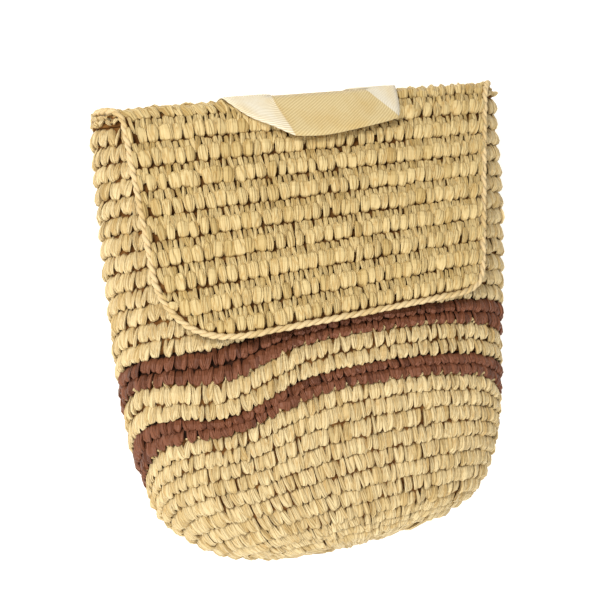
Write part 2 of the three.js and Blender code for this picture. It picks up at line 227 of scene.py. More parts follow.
# Flap: from the back rim round the mouth and down the front
flap = {
    "wall": 0.005,
    "reach": 0.147,       # how far it comes down the front
    "topHalfWidth": 0.133,
    "rootFlare": 0.017,   # how much further out its sides start behind the mouth
    "flareHold": 3,       # exponent by which the flare fades towards the mouth
    "hemHalfWidth": 0.109,
    "hemShift": -0.013,   # sideways drift of the hem
    "hemTurn": 0.09,      # rise of the hem to the right
    "rollLead": 0.002,    # straight start behind the mouth
    "rollReach": 0.006,   # how far the fold then stands out
    "clearance": 0.001,   # over the pouch's front
    "lift": 0.006,        # extra height of the hem over the pouch
    "flatness": 0.88,     # share of the way out from the middle where the height is taken
    "leftCorner": 0.044,  # radii of the hem's corners
    "rightCorner": 0.012,
    "seam": 0.0003,       # gap between pieces that touch
    "rollRows": 4,        # rows round the mouth, and down the front
    "frontRows": 18,
}
mouthRow = sectionRows[-1]
mouthCentre = sectionTable["side"][-1] * pouch["halfWidth"]


def rimAt(x):
    # Y of the pouch's rim: its length, rising with x by the last section's turn
    return pouch["length"] + sectionTable["turn"][-1] * (x - mouthCentre)


def heightOver(x, y, up, halvings=24):
    # Height of the pouch's front or back over a place, by halving the row interval until its y matches
    low, high = np.zeros_like(y), np.full_like(y, mouthRow)

    def at(row):
        s = sectionAt(row)
        half = s["width"] * pouch["halfWidth"]
        share = np.minimum(np.abs((x - s["side"] * pouch["halfWidth"]) / half), 1)
        exponent = s["crown"] if up else pouch["backSquareness"]
        angle = np.arccos(share ** (exponent / 2))
        side = np.where(x < s["side"] * pouch["halfWidth"], math.pi - angle, angle)
        return pouchPoint(row, side if up else -side)

    for _ in range(halvings):
        middle = (low + high) / 2
        under = at(middle)[..., 1] < y
        low, high = np.where(under, middle, low), np.where(under, high, middle)
    return at((low + high) / 2)[..., 2]


def cornerInset(radius, distance):
    # How far a rounded corner eats into a side at distance d from the hem: R - sqrt(R^2 - (R - d)^2)
    inside = np.maximum(radius**2 - (radius - distance) ** 2, 0)
    return np.where(distance < radius, radius - np.sqrt(inside), 0)


def flapEdges(share, rounded=True):
    # Left and right x of the tapering front at a share of its length, with or without the hem's corners
    centre = mouthCentre + flap["hemShift"] * share
    half = flap["topHalfWidth"] + (flap["hemHalfWidth"] - flap["topHalfWidth"]) * share
    if not rounded:
        return centre - half, centre + half
    distance = (1 - share) * flap["reach"]
    left = centre - half + cornerInset(flap["leftCorner"], distance)
    return left, centre + half - cornerInset(flap["rightCorner"], distance)


def flapFront(x, share):
    # Middle of the flap's thickness on the front: the height of the pouch nearer to the middle, and a lift
    # that grows as share^3 (3 - 2 share)
    hem = pouch["length"] - flap["reach"] + flap["hemTurn"] * (x - mouthCentre)
    y = rimAt(x) + (hem - rimAt(x)) * share
    flatter = mouthCentre + flap["flatness"] * (x - mouthCentre)
    rest = heightOver(flatter, np.minimum(y, rimAt(flatter)), True)
    ease = share * share * (3 - 2 * share)
    z = rest + flap["clearance"] + flap["wall"] / 2 + flap["lift"] * ease * share
    return np.stack([x, y, z], -1)


def flapRoll(x, angle, outside=0.0):
    # Half an ellipse round the mouth, from the back rim at -90 degrees to the front at 90
    back = heightOver(x, rimAt(x), False) + pouch["wall"] / 2
    front = flapFront(x, np.zeros_like(x))[..., 2]
    radius = (front - back) / 2
    away = np.stack([np.cos(angle) / flap["rollReach"], np.sin(angle) / radius], -1)
    away *= (outside / np.linalg.norm(away, axis=-1))[..., None]
    lead = flap["seam"] + flap["rollLead"]
    y = rimAt(x) + lead + flap["rollReach"] * np.cos(angle) + away[..., 0]
    z = (back + front) / 2 + radius * np.sin(angle) + away[..., 1]
    return np.stack([x, y, z], -1)


def flapSurface(rounded=True, perRow=5, columns=140):
    # Lines of the flap by row of crochet: negative rows go round the mouth, the rest down the front
    lines = []
    u = np.linspace(0, 1, columns)
    rows = np.linspace(-flap["rollRows"], flap["frontRows"],
                       (flap["rollRows"] + flap["frontRows"]) * perRow + 1)
    for row in rows:
        if row < 0:
            share = 1 + row / flap["rollRows"]
            half = flap["topHalfWidth"] + flap["rootFlare"] * (1 - share ** flap["flareHold"])
            x = mouthCentre - half + 2 * half * u
            lines.append(flapRoll(x, np.full_like(x, math.asin(min(2 * share - 1, 1)))))
        else:
            share = row / flap["frontRows"]
            left, right = flapEdges(share, rounded)
            x = left + (right - left) * u
            lines.append(flapFront(x, np.full_like(x, share)))
    points = np.array(lines) + origin
    return makeSurface(points[:, ::-1], -flap["rollRows"], flap["frontRows"], False)


wholeFlap = flapSurface()
plainFlap = flapSurface(rounded=False)  # without the hem's round corners, so that its columns run straight
print("flap surface", wholeFlap["points"].shape)


# Meshes
def meshObject(name, vertices, faces, material, attributes=None, uv=None, smooth=True):
    # faces is a list of index arrays, one array for each number of corners
    mesh = bpy.data.meshes.new(name)
    corners = np.concatenate([f.reshape(-1) for f in faces]).astype(np.int32)
    sizes = np.concatenate([np.full(len(f), f.shape[1]) for f in faces]).astype(np.int32)
    starts = np.concatenate([[0], np.cumsum(sizes)[:-1]]).astype(np.int32)
    mesh.vertices.add(len(vertices))
    mesh.vertices.foreach_set("co", np.ascontiguousarray(vertices, np.float32).reshape(-1))
    mesh.loops.add(len(corners))
    mesh.loops.foreach_set("vertex_index", corners)
    mesh.polygons.add(len(sizes))
    mesh.polygons.foreach_set("loop_start", starts)
    mesh.polygons.foreach_set("loop_total", sizes)
    mesh.polygons.foreach_set("use_smooth", np.full(len(sizes), smooth))
    mesh.update(calc_edges=True)
    mesh.validate()
    if uv is not None:
        layer = mesh.uv_layers.new(name="weave")
        layer.data.foreach_set("uv", np.ascontiguousarray(uv, np.float32).reshape(-1))
    for key, values in (attributes or {}).items():
        mesh.attributes.new(key, "FLOAT", "POINT").data.foreach_set("value", values.astype(np.float32))
    mesh.materials.append(material)
    made = bpy.data.objects.new(name, mesh)
    bpy.context.collection.objects.link(made)
    return made


squareness = 0.75  # exponent of the sine in a strand's section, under 1 for flatter faces


def strandMesh(centres, normals, halfWidth, halfThick, roll, creases):
    # Each strand is a closed, flattened tube: at every station cos goes across by halfWidth and
    # sin^squareness out by halfThick, the pair turned by roll about the strand's own direction, and
    # creases scale the spokes
    count, stations = centres.shape[:2]
    sides = creases.shape[1]
    along = np.gradient(centres, axis=1)
    along /= np.maximum(np.linalg.norm(along, axis=-1, keepdims=True), tiny)
    across = np.cross(along, normals)
    across /= np.maximum(np.linalg.norm(across, axis=-1, keepdims=True), tiny)
    out = np.cross(across, along)
    cosRoll, sinRoll = np.cos(roll)[..., None], np.sin(roll)[..., None]
    sideways = across * cosRoll + out * sinRoll
    outwards = out * cosRoll - across * sinRoll
    angle = 2 * np.pi * np.arange(sides) / sides
    wide = (np.cos(angle) * creases)[:, None, :] * halfWidth[..., None]
    thick = (power(np.sin(angle), squareness) * creases)[:, None, :] * halfThick[..., None]
    vertices = (centres[:, :, None] + sideways[:, :, None] * wide[..., None]
                + outwards[:, :, None] * thick[..., None])
    index = np.arange(count * stations * sides).reshape(count, stations, sides)
    nextSide = np.roll(index, -1, 2)
    quads = np.stack([index[:, :-1], index[:, 1:], nextSide[:, 1:], nextSide[:, :-1]], -1)
    faces = [quads.reshape(-1, 4)]
    k = np.arange(stations) / (stations - 1)
    j = np.arange(sides) / sides
    corner = np.stack(np.meshgrid(k, j, indexing="ij"), -1)
    step = np.array([[0, 0], [1 / (stations - 1), 0], [1 / (stations - 1), 1 / sides], [0, 1 / sides]])
    uv = np.broadcast_to(corner[None, :-1, :, None] + step[None, None, None],
                         (count, stations - 1, sides, 4, 2)).reshape(-1, 2)
    faces += [index[:, 0], index[:, -1, ::-1]]
    uv = np.concatenate([uv, np.zeros((2 * count * sides, 2))])
    return vertices, faces, uv


def joined(parts):
    # Several strand meshes as one: vertices, faces by corner count, uv in the same order
    vertices, faces, uv, extra, start = [], [], [], {}, 0
    for part in parts:
        vertices.append(part["vertices"])
        faces.append([f + start for f in part["faces"]])
        uv.append(part["uv"])
        for key, value in part["extra"].items():
            extra.setdefault(key, []).append(value)
        start += len(part["vertices"])
    return (np.concatenate(vertices), [f for group in faces for f in group], np.concatenate(uv),
            {key: np.concatenate(value) for key, value in extra.items()})


# Stations of one leg of a stitch; the second leg is its mirror image. across and along are shares of the
# stitch's cell, and out is a height in mm over the level that the piece names, or else over its surface.
# wide is half the strand's width, a share of the pitch, and thick half its thickness in mm
leg = {
    "across": np.array([0.085, 0.12, 0.175, 0.23, 0.275, 0.295]),
    "along": np.array([-0.12, -0.05, 0.11, 0.40, 0.69, 0.90]),
    "out": np.array([-0.3, 1.1, 1.8, 1.2, -0.4, -2.5]),
    "wide": np.array([0.17, 0.27, 0.325, 0.325, 0.285, 0.18]),
    "thick": np.array([0.6, 1.1, 1.3, 1.2, 1.0, 0.6]),
    "roll": 0.38,        # radians that a leg's inner edge is raised
}
# Below a stripe the legs run on, thin, and come out as pale dots between the stitches of the row above
tipped = dict(leg, along=np.array([-0.12, -0.05, 0.11, 0.40, 0.69, 0.88, 1.05]),
              across=np.array([0.085, 0.12, 0.175, 0.23, 0.29, 0.42, 0.49]),
              out=np.array([-0.3, 1.0, 1.6, 1.1, -0.3, -0.9, 1.5]),
              wide=np.array([0.17, 0.27, 0.325, 0.325, 0.25, 0.11, 0.12]),
              thick=np.array([0.6, 1.1, 1.3, 1.2, 1.0, 0.6, 0.7]))
# The flap's plump stitches, one strand each: round above, where they start between two posts, and blunt
# below
bean = {
    "across": np.zeros(7),
    "along": np.array([-0.25, -0.19, -0.02, 0.28, 0.60, 0.86, 1.03]),
    "out": np.array([-0.2, 0.9, 1.7, 1.8, 1.2, -0.1, -2.0]),
    "wide": np.array([0.14, 0.33, 0.48, 0.53, 0.52, 0.45, 0.30]),
    "thick": np.array([0.4, 1.1, 1.7, 1.9, 1.8, 1.4, 0.7]),
    "roll": 0.0,
}
# The narrower stitches above them are turned over, with two legs that meet at their lower end
post = {
    "across": np.array([0.05, 0.11, 0.18, 0.245, 0.27, 0.28]),
    "along": np.array([-0.30, -0.12, 0.12, 0.46, 0.80, 1.00]),
    "out": np.array([-0.6, 0.4, 0.9, 0.8, 0.0, -1.9]),
    "wide": np.array([0.10, 0.20, 0.25, 0.26, 0.24, 0.16]),
    "thick": np.array([0.4, 0.9, 1.0, 1.0, 0.9, 0.5]),
    "roll": 0.3,
}
# Spread of each stitch's own differences
jitter = {
    "across": 0.045,     # shares of its cell
    "along": 0.06,
    "lean": 0.07,
    "out": 0.35,         # mm of height
    "wide": 0.10,        # share of its width
    "roll": 0.38,        # radians
    "crease": 0.15,      # share of a spoke's length
}
mostSpread = 2.2         # no difference is larger than this many spreads
mostCrease = 2           # and no crease than this many
leanMiddle = 0.4         # share of a stitch's height about which it leans
gapDepth = 1.9           # mm under that level where straw is in full shadow
gapRange = 2.6           # mm from there to where it is fully lit
strandSides = 8
widestStrand = 4.4 * mm  # half width


def stitches(surface, u, v, du, dv, shape, mirror, level=0.0, lean=0.0):
    # One strand in each cell: u and v are the cells' lower middles, du and dv their sizes, mirror -1 or 1,
    # and level a height in mm. Each cell gets its own small shift, width, roll and creases. tone is the
    # strand's own random number, shade its height out of the gaps
    count = len(u)
    noise = rng.normal(size=(count, 6)).clip(-mostSpread, mostSpread)
    leaning = (lean + jitter["lean"] * noise[:, 5:6]) * (shape["along"][None] - leanMiddle)
    across = mirror * shape["across"][None] + jitter["across"] * noise[:, :1] + leaning
    along = shape["along"][None] + jitter["along"] * noise[:, 1:2]
    height = (shape["out"][None] + level + jitter["out"] * noise[:, 2:3]) * mm
    uAll = u[:, None] + across * du[:, None]
    vAll = v[:, None] + along * dv[:, None]
    centres, normals = readSurface(surface, uAll, vAll, height)
    left, _ = readSurface(surface, u - du / 2, v + dv * 0.5)
    right, _ = readSurface(surface, u + du / 2, v + dv * 0.5)
    pitch = np.linalg.norm(right - left, axis=-1)
    wide = shape["wide"][None] * pitch[:, None] * (1 + jitter["wide"] * noise[:, 3:4])
    wide = np.minimum(wide, widestStrand)
    thick = np.broadcast_to(shape["thick"][None] * mm, wide.shape)
    roll = mirror * shape["roll"] + jitter["roll"] * noise[:, 4:5] * np.ones_like(wide)
    creases = 1 + jitter["crease"] * rng.normal(size=(count, strandSides)).clip(-mostCrease, mostCrease)
    vertices, faces, uv = strandMesh(centres, normals, wide, thick, roll, creases)
    tone = np.repeat(rng.random(count), vertices.shape[1] * vertices.shape[2])
    angle = 2 * np.pi * np.arange(strandSides) / strandSides
    # shade, from each point's height over the level, drives the painted shade that the material puts deep in
    # the gaps
    lifted = height[..., None] + thick[..., None] * np.sin(angle)
    shade = np.clip(((lifted / mm - level) + gapDepth) / gapRange, 0, 1).reshape(-1)
    return {"vertices": vertices.reshape(-1, 3), "faces": faces, "uv": uv,
            "extra": {"tone": tone, "shade": shade}}


def rowCells(surface, row, number, shift):
    # Middles of the stitches of one row: evenly round a closed surface, or between the edges of an open one
    if surface["closed"]:
        u = (np.arange(number) + shift) / number
    else:
        u = (np.arange(number) + 0.5) / number
    return u, np.full(number, float(row)), np.full(number, 1 / number), np.ones(number)


def girthAt(surface, row):
    # Length round the surface at a row, by linear interpolation
    return float(np.interp(row, surface["rows"], surface["girth"]))


# Materials
def newMaterial(name):
    # A node material with its nodes and links
    material = bpy.data.materials.new(name)
    material.use_nodes = True
    return material, material.node_tree.nodes, material.node_tree.links


def addNode(nodes, kind, values=None, **settings):
    # A node with its settings by name and its input values by socket
    node = nodes.new("ShaderNode" + kind)
    for key, value in settings.items():
        setattr(node, key, value)
    for socket, value in (values or {}).items():
        node.inputs[socket].default_value = value
    return node


def addBump(nodes, links, height, strength, distance, before=None, inverted=False):
    # The normal that a height gives, on top of an earlier one
    bump = addNode(nodes, "Bump", {"Strength": strength, "Distance": distance}, invert=inverted)
    links.new(height, bump.inputs["Height"])
    if before:
        links.new(before, bump.inputs["Normal"])
    return bump.outputs[0]


def mixColour(nodes, links, factor, first, second, blend="MIX"):
    # first blended with second by factor, each a socket or a fixed value
    mix = addNode(nodes, "Mix", data_type="RGBA", blend_type=blend)
    for socket, value in ((mix.inputs[0], factor), (mix.inputs[6], first), (mix.inputs[7], second)):
        if hasattr(value, "is_output"):
            links.new(value, socket)
        else:
            socket.default_value = value
    return mix.outputs[2]


white, black = (1, 1, 1, 1), (0, 0, 0, 1)


def ramp(nodes, links, value, places, colours):
    # Colour read by a value from 0 to 1, straight between the colours at neighbouring places
    node = addNode(nodes, "ValToRGB")
    while len(node.color_ramp.elements) < len(places):
        node.color_ramp.elements.new(0.5)
    for element, place, colour in zip(node.color_ramp.elements, places, colours):
        element.position = place
        element.color = colour
    links.new(value, node.inputs[0])
    return node.outputs[0]


# Colours of the straw: its lightest and darkest strands, and the painted shade that straw deep in the gaps
# takes
strawLooks = {
    "natural": {
        "light": (0.735, 0.585, 0.315, 1),
        "dark": (0.60, 0.44, 0.195, 1),
        "gap": (0.22, 0.080, 0.012, 1),
    },
    # the flap's straw: the natural straw made darker and more saturated, painted shade over the whole flap
    "flap": {
        "light": (0.68, 0.525, 0.25, 1),
        "dark": (0.56, 0.405, 0.16, 1),
        "gap": (0.20, 0.072, 0.010, 1),
    },
    "brown": {
        "light": (0.215, 0.078, 0.038, 1),
        "dark": (0.115, 0.038, 0.018, 1),
        "gap": (0.016, 0.005, 0.002, 1),
    },
    "edging": {
        "light": (0.74, 0.57, 0.31, 1),
        "dark": (0.64, 0.47, 0.22, 1),
        "gap": (0.24, 0.095, 0.02, 1),
    },
}
fibres = {
    "along": 1.6,             # noise cells of the fine fibres along a strand and around it
    "around": 24.0,
    "detail": 3.0,
    "fineBump": 0.3,
    "fineDistance": 0.0003,
    "streak": (0.66, 0.56, 0.42, 1),
    "streakPlaces": (0.30, 0.56),      # noise values of a full streak and of none
    "streakShare": 0.55,
    "creaseAlong": 0.9,       # the same for the folds of the ribbon
    "creaseAround": 7.0,
    "creaseDetail": 1.0,
    "creaseBump": 0.7,
    "creaseDistance": 0.0009,
    # painted shade along the ribbon's creases, set by the same noise as their bump
    "creaseShadeColour": (0.78, 0.66, 0.48, 1),
    "ridgePlaces": (0.40, 0.50, 0.60),  # noise values beside, in and beyond a crease
    "creasePlaces": (0.0, 0.6),
    "creaseShare": 0.8,
    "tonePlaces": (0.0, 0.35, 1.0),   # tones of the darkest strands, and of all light ones
    "gapPlaces": (0.12, 0.62),        # shades of a gap and of the straw's own colour
    "apart": 137.0,           # distance in the noise between two strands of tone 0 and 1
    "roughness": 0.52,
    "specular": 0.3,
}


def strawMaterial(name, creased=True):
    # Ribbon straw: each strand has its own tone, long fibres run down it, and painted shade darkens it in
    # the gaps and, when creased, along its creases
    look = strawLooks[name]
    material, nodes, links = newMaterial("straw_" + name)
    shader = nodes["Principled BSDF"]
    tone = addNode(nodes, "Attribute", attribute_name="tone")
    shade = addNode(nodes, "Attribute", attribute_name="shade")
    uv = addNode(nodes, "UVMap", uv_map="weave")
    split = addNode(nodes, "SeparateXYZ")
    links.new(uv.outputs[0], split.inputs[0])
    own = addNode(nodes, "Math", {1: fibres["apart"]}, operation="MULTIPLY")
    links.new(tone.outputs["Fac"], own.inputs[0])

    def stretched(along, around, detail):
        # Noise drawn out along the strand, another one in each strand
        place = addNode(nodes, "CombineXYZ")
        for axis, factor in ((0, along), (1, around)):
            times = addNode(nodes, "Math", {1: factor}, operation="MULTIPLY")
            links.new(split.outputs[axis], times.inputs[0])
            links.new(times.outputs[0], place.inputs[axis])
        links.new(own.outputs[0], place.inputs[2])
        noise = addNode(nodes, "TexNoise", {"Scale": 1.0, "Detail": detail})
        links.new(place.outputs[0], noise.inputs["Vector"])
        return noise.outputs["Fac"]

    grain = stretched(fibres["along"], fibres["around"], fibres["detail"])
    folds = stretched(fibres["creaseAlong"], fibres["creaseAround"], fibres["creaseDetail"])
    ridge = ramp(nodes, links, folds, fibres["ridgePlaces"], (white, black, white))
    tones = (look["dark"], look["light"], look["light"])
    strand = ramp(nodes, links, tone.outputs["Fac"], fibres["tonePlaces"], tones)
    streak = ramp(nodes, links, grain, fibres["streakPlaces"], (fibres["streak"], white))
    # Painted shade: the ribbon's creases take a darker colour where the fold noise bumps them
    creaseShade = ramp(nodes, links, ridge, fibres["creasePlaces"], (fibres["creaseShadeColour"], white))
    streaked = mixColour(nodes, links, fibres["streakShare"], strand, streak, "MULTIPLY")
    if creased:
        streaked = mixColour(nodes, links, fibres["creaseShare"], streaked, creaseShade, "MULTIPLY")
    # Painted shade: the lower a point lies in the gaps, the more it takes the gap shade colour in place of
    # its own
    depth = ramp(nodes, links, shade.outputs["Fac"], fibres["gapPlaces"], (white, black))
    gap = mixColour(nodes, links, depth, streaked, look["gap"])
    links.new(gap, shader.inputs["Base Color"])
    shader.inputs["Roughness"].default_value = fibres["roughness"]
    shader.inputs["Specular IOR Level"].default_value = fibres["specular"]
    normal = None
    if creased:
        normal = addBump(nodes, links, ridge, fibres["creaseBump"], fibres["creaseDistance"])
    normal = addBump(nodes, links, grain, fibres["fineBump"], fibres["fineDistance"], normal)
    links.new(normal, shader.inputs["Normal"])
    return material


# The wall behind the stitches, the back of the same straw: its colours are painted shade, far darker than
# the straw, for its knots and darker still for the places between them
coreShadeLooks = {
    "straw": {"knot": (0.25, 0.115, 0.03, 1), "between": (0.10, 0.038, 0.008, 1)},
    "brown": {"knot": (0.045, 0.016, 0.008, 1), "between": (0.012, 0.005, 0.002, 1)},
}
knot = {
    "perMetre": (130, 210, 210),
    "places": (0.1, 0.75),  # distances of the knot's colour and of the one between
    "bump": 0.8,
    "distance": 0.002,
    "roughness": 0.8,
    "specular": 0.1,
}


def coreMaterial(name):
    # Small round knots: colour and height go by the distance to the nearest point of a stretched Voronoi
    # pattern; the colour is painted shade, darkening away from each knot's middle
    look = coreShadeLooks[name]
    material, nodes, links = newMaterial(name + "_inside")
    shader = nodes["Principled BSDF"]
    coordinates = addNode(nodes, "TexCoord")
    mapping = addNode(nodes, "Mapping", {"Scale": knot["perMetre"]})
    links.new(coordinates.outputs["Object"], mapping.inputs[0])
    knots = addNode(nodes, "TexVoronoi", {"Scale": 1.0})
    links.new(mapping.outputs[0], knots.inputs["Vector"])
    colours = (look["knot"], look["between"])
    colour = ramp(nodes, links, knots.outputs["Distance"], knot["places"], colours)
    links.new(colour, shader.inputs["Base Color"])
    shader.inputs["Roughness"].default_value = knot["roughness"]
    shader.inputs["Specular IOR Level"].default_value = knot["specular"]
    normal = addBump(nodes, links, knots.outputs["Distance"], knot["bump"], knot["distance"], inverted=True)
    links.new(normal, shader.inputs["Normal"])
    return material


naturalStraw = strawMaterial("natural")
flapStraw = strawMaterial("flap")
brownStraw = strawMaterial("brown")
edgingStraw = strawMaterial("edging", creased=False)
naturalCore = coreMaterial("straw")
brownCore = coreMaterial("brown")
print("materials made")

# Pouch pieces
weave = {
    "wallStitches": 83,       # stitches in every round from growRow up
    "growRow": 5,             # the bottom's rounds below it have fewer stitches
    "bottomPitch": 8.1 * mm,  # stitch width there
    "girthPlace": 0.6,        # share of a round up which its length is measured
    "fewest": 6,              # stitches in the bottom's innermost round
    "slant": 0.06,            # share of a stitch that each round moves along
    "coreOut": 3.0 * mm,      # how deep behind the surface the core lies
    "surfaceOut": -1.9 * mm,  # height that the stitches' heights are counted from
    "lean": 0.16,             # share of a stitch that its upper end leans to the left
    "tippedRows": (10, 14),   # rows right below a stripe
    "coreColumns": 160,       # sides of the wall behind the stitches, and its rings in each row
    "corePerRow": 3,
    "innerSkin": 0.3 * mm,    # how far inside the solid's inner face that wall ends
}
# First row, the row after the last, and the straw
bands = {
    "pouch_base": (-3, 11, "natural"),
    "lower_stripe": (11, 13, "brown"),
    "middle_band": (13, 15, "natural"),
    "upper_stripe": (15, 17, "brown"),
    "upper_wall": (17, 30, "natural"),
}


def pouchRows(low, high):
    # Every round of a band: two mirrored legs in each stitch, each round moved along by slant
    parts = []
    height = weave["surfaceOut"] / mm
    for row in range(low, high):
        if row >= weave["growRow"]:
            number = weave["wallStitches"]
        else:
            number = round(girthAt(wholePouch, row + weave["girthPlace"]) / weave["bottomPitch"])
            number = min(max(weave["fewest"], number), weave["wallStitches"])
        u, v, du, dv = rowCells(wholePouch, row, number, weave["slant"] * row)
        for side in (-1, 1):
            shape = tipped if row in weave["tippedRows"] else leg
            parts.append(stitches(wholePouch, u, v, du, dv, shape, side, height, weave["lean"]))
    return parts


def closedWall(name, outer, inner, material, closedU):
    # A closed wall between two grids of the same size: both faces, and strips that join their edges
    rowsCount, columns = outer.shape[:2]
    vertices = np.concatenate([outer.reshape(-1, 3), inner.reshape(-1, 3)])
    index = np.arange(rowsCount * columns).reshape(rowsCount, columns)
    shift = rowsCount * columns
    other = index + shift
    nextColumn = np.roll(index, -1, 1) if closedU else index[:, 1:]
    thisColumn = index if closedU else index[:, :-1]
    quads = np.stack([thisColumn[:-1], nextColumn[:-1], nextColumn[1:], thisColumn[1:]], -1).reshape(-1, 4)
    faces = [quads, quads[:, ::-1] + shift]
    for end, flip in ((0, True), (rowsCount - 1, False)):
        a, b = thisColumn[end], nextColumn[end]
        rim = np.stack([a, b, b + shift, a + shift], -1)
        faces.append(rim[:, ::-1] if flip else rim)
    if not closedU:
        for end, flip in ((0, False), (columns - 1, True)):
            a, b = index[:-1, end], index[1:, end]
            rim = np.stack([a, b, other[1:, end], other[:-1, end]], -1)
            faces.append(rim[:, ::-1] if flip else rim)
    return meshObject(name, vertices, faces, material)


def pouchCore(name, low, high, material):
    # The wall behind the stitches of one band, from coreOut behind the surface to the inner face
    rows = np.linspace(max(low, pouch["lowestRow"]), high, (high - low) * weave["corePerRow"] + 1)
    u, v = np.meshgrid(np.arange(weave["coreColumns"]) / weave["coreColumns"], rows)
    outer, _ = readSurface(wholePouch, u, v, np.full(u.shape, -weave["coreOut"]))
    inner, _ = readSurface(wholePouch, u, v, np.full(u.shape, weave["innerSkin"] - pouch["wall"]))
    return closedWall(name, outer, inner, material, True)


for node, (low, high, colour) in bands.items():
    vertices, faces, uv, extra = joined(pouchRows(low, high))
    material = naturalStraw if colour == "natural" else brownStraw
    stitched = meshObject(node + "_stitches", vertices, faces, material, extra, uv, smooth=False)
    core = pouchCore(node + "_inside", low, high, naturalCore if colour == "natural" else brownCore)
    for piece in (stitched, core):
        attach(piece, "root")
        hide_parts(node)
    print(node, "stitched,", len(stitched.data.polygons), "faces")

# Corners of the mouth, beside the flap, where the front and back walls are drawn together
corner = {
    "reach": 0.040,       # how far from the rim's end towards the middle
    "start": 0.0012,      # distance kept from the rim's end
    "rise": 8.0 * mm,     # of the drawn straw over the rim
    "rows": 5,
    "pitch": 7.5 * mm,    # stitch width
    "coreOut": 0.6 * mm,  # how deep behind the surface the core lies
    "coreThick": 2.0 * mm,
}


def cornerSurface(side, columns=24, lines=13):
    # Between the front and back rims: z runs from one to the other, y rises by a half sine over the rim
    rimHalf = sectionTable["width"][-1] * pouch["halfWidth"]
    x = mouthCentre + side * (rimHalf - corner["start"] - corner["reach"] * np.linspace(0, 1, columns))
    front, back = heightOver(x, rimAt(x), True), heightOver(x, rimAt(x), False)
    v = np.linspace(0, 1, lines)[:, None]
    y = rimAt(x)[None] + corner["rise"] * np.sin(np.pi * v)
    z = front[None] * (1 - v) + back[None] * v
    points = np.stack([np.broadcast_to(x, z.shape), y, z], -1) + origin
    return makeSurface(points if side < 0 else points[:, ::-1], 0.0, float(corner["rows"]), False)


def cornerPieces(columns=16, lines=9):
    # The stitches of both corners as one mesh, and a closed wall behind each
    parts, made = [], []
    for side in (-1, 1):
        surface = cornerSurface(side)
        number = round(corner["reach"] / corner["pitch"])
        for row in range(corner["rows"]):
            u, v, du, dv = rowCells(surface, row, number, 0)
            for mirror in (-1, 1):
                parts.append(stitches(surface, u, v, du, dv, leg, mirror))
        u, v = np.meshgrid(np.linspace(0, 1, columns), np.linspace(0, corner["rows"], lines))
        outer, _ = readSurface(surface, u, v, np.full(u.shape, -corner["coreOut"]))
        inner, _ = readSurface(surface, u, v, np.full(u.shape, -corner["coreOut"] - corner["coreThick"]))
        name = "upper_wall_corner_" + ("left" if side < 0 else "right")
        made.append(closedWall(name, outer, inner, naturalCore, False))
    vertices, faces, uv, extra = joined(parts)
    made.append(meshObject("upper_wall_corners", vertices, faces, naturalStraw, extra, uv, smooth=False))
    return made


for piece in cornerPieces():
    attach(piece, "root")
    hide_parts("upper_wall")
print("corners of the mouth closed")

# Flap pieces
flapWeave = {
    "number": 34,             # stitches in every row
    "coreOut": -1.4 * mm,     # height of the core's outer face over the middle of the flap's thickness
    "surfaceOut": 1.3 * mm,   # height over it that the stitches' heights are counted from
    "rollOut": -0.5 * mm,     # the same round the mouth
    "hemMargin": 0.06,        # share of a row left free above the rope
    "leastCell": 0.35,        # shortest part of a row that still holds a stitch
    "rollLean": 0.35,         # share of a stitch that the strands round the mouth lean
}


def hemRow(u):
    # Row where the hem's rounded corners cut a straight column: R (1 - sqrt(1 - n^2)) above the hem,
    # n being how far into the corner the column stands
    width = 2 * flap["hemHalfWidth"]
    cut = np.zeros_like(u)
    for radius, side in ((flap["rightCorner"], u), (flap["leftCorner"], 1 - u)):
        into = np.clip(1 - side * width / radius, 0, 1)
        cut = np.maximum(cut, radius * (1 - np.sqrt(1 - into**2)))
    return flap["frontRows"] * (1 - cut / flap["reach"])


def flapRows():
    # Round the mouth: leaning stitches. Down the front, in turn: a row of narrow stitches, turned over,
    # and half a stitch on a row of plump ones
    parts = []
    up = flapWeave["surfaceOut"] / mm
    for row in range(-flap["rollRows"], flap["frontRows"]):
        plump = row >= 0 and row % 2 == 1
        number = flapWeave["number"] + (1 if plump else 0)
        u = (np.arange(number) + (0 if plump else 0.5)) / flapWeave["number"]
        dv = np.minimum(1, hemRow(np.clip(u, 0, 1)) - flapWeave["hemMargin"] - row)
        u, dv = u[dv > flapWeave["leastCell"]], dv[dv > flapWeave["leastCell"]]
        v, du = np.full(len(u), float(row)), np.full(len(u), 1 / flapWeave["number"])
        if plump:
            parts.append(stitches(plainFlap, u, v, du, dv, bean, 1, up))
            continue
        for side in (-1, 1):
            if row < 0:
                low = flapWeave["rollOut"] / mm
                parts.append(stitches(plainFlap, u, v + dv, du, -dv, leg, side, low, flapWeave["rollLean"]))
            else:
                parts.append(stitches(plainFlap, u, v + dv, du, -dv, post, side, up))
    return parts


def flapCore(columns=81, lines=73):
    # The wall behind the flap's stitches, from coreOut down to the flap's inner face
    u, v = np.meshgrid(np.linspace(0, 1, columns), np.linspace(-flap["rollRows"], flap["frontRows"], lines))
    outer, _ = readSurface(wholeFlap, u, v, np.full(u.shape, flapWeave["coreOut"]))
    inner, _ = readSurface(wholeFlap, u, v, np.full(u.shape, -flap["wall"] / 2))
    return closedWall("flap_inside", outer, inner, naturalCore, False)


vertices, faces, uv, extra = joined(flapRows())
flapStitches = meshObject("flap_stitches", vertices, faces, flapStraw, extra, uv, smooth=False)
flapInside = flapCore()
for piece in (flapStitches, flapInside):
    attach(piece, "root")
    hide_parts("flap")
print("flap stitched,", len(flapStitches.data.polygons), "faces")

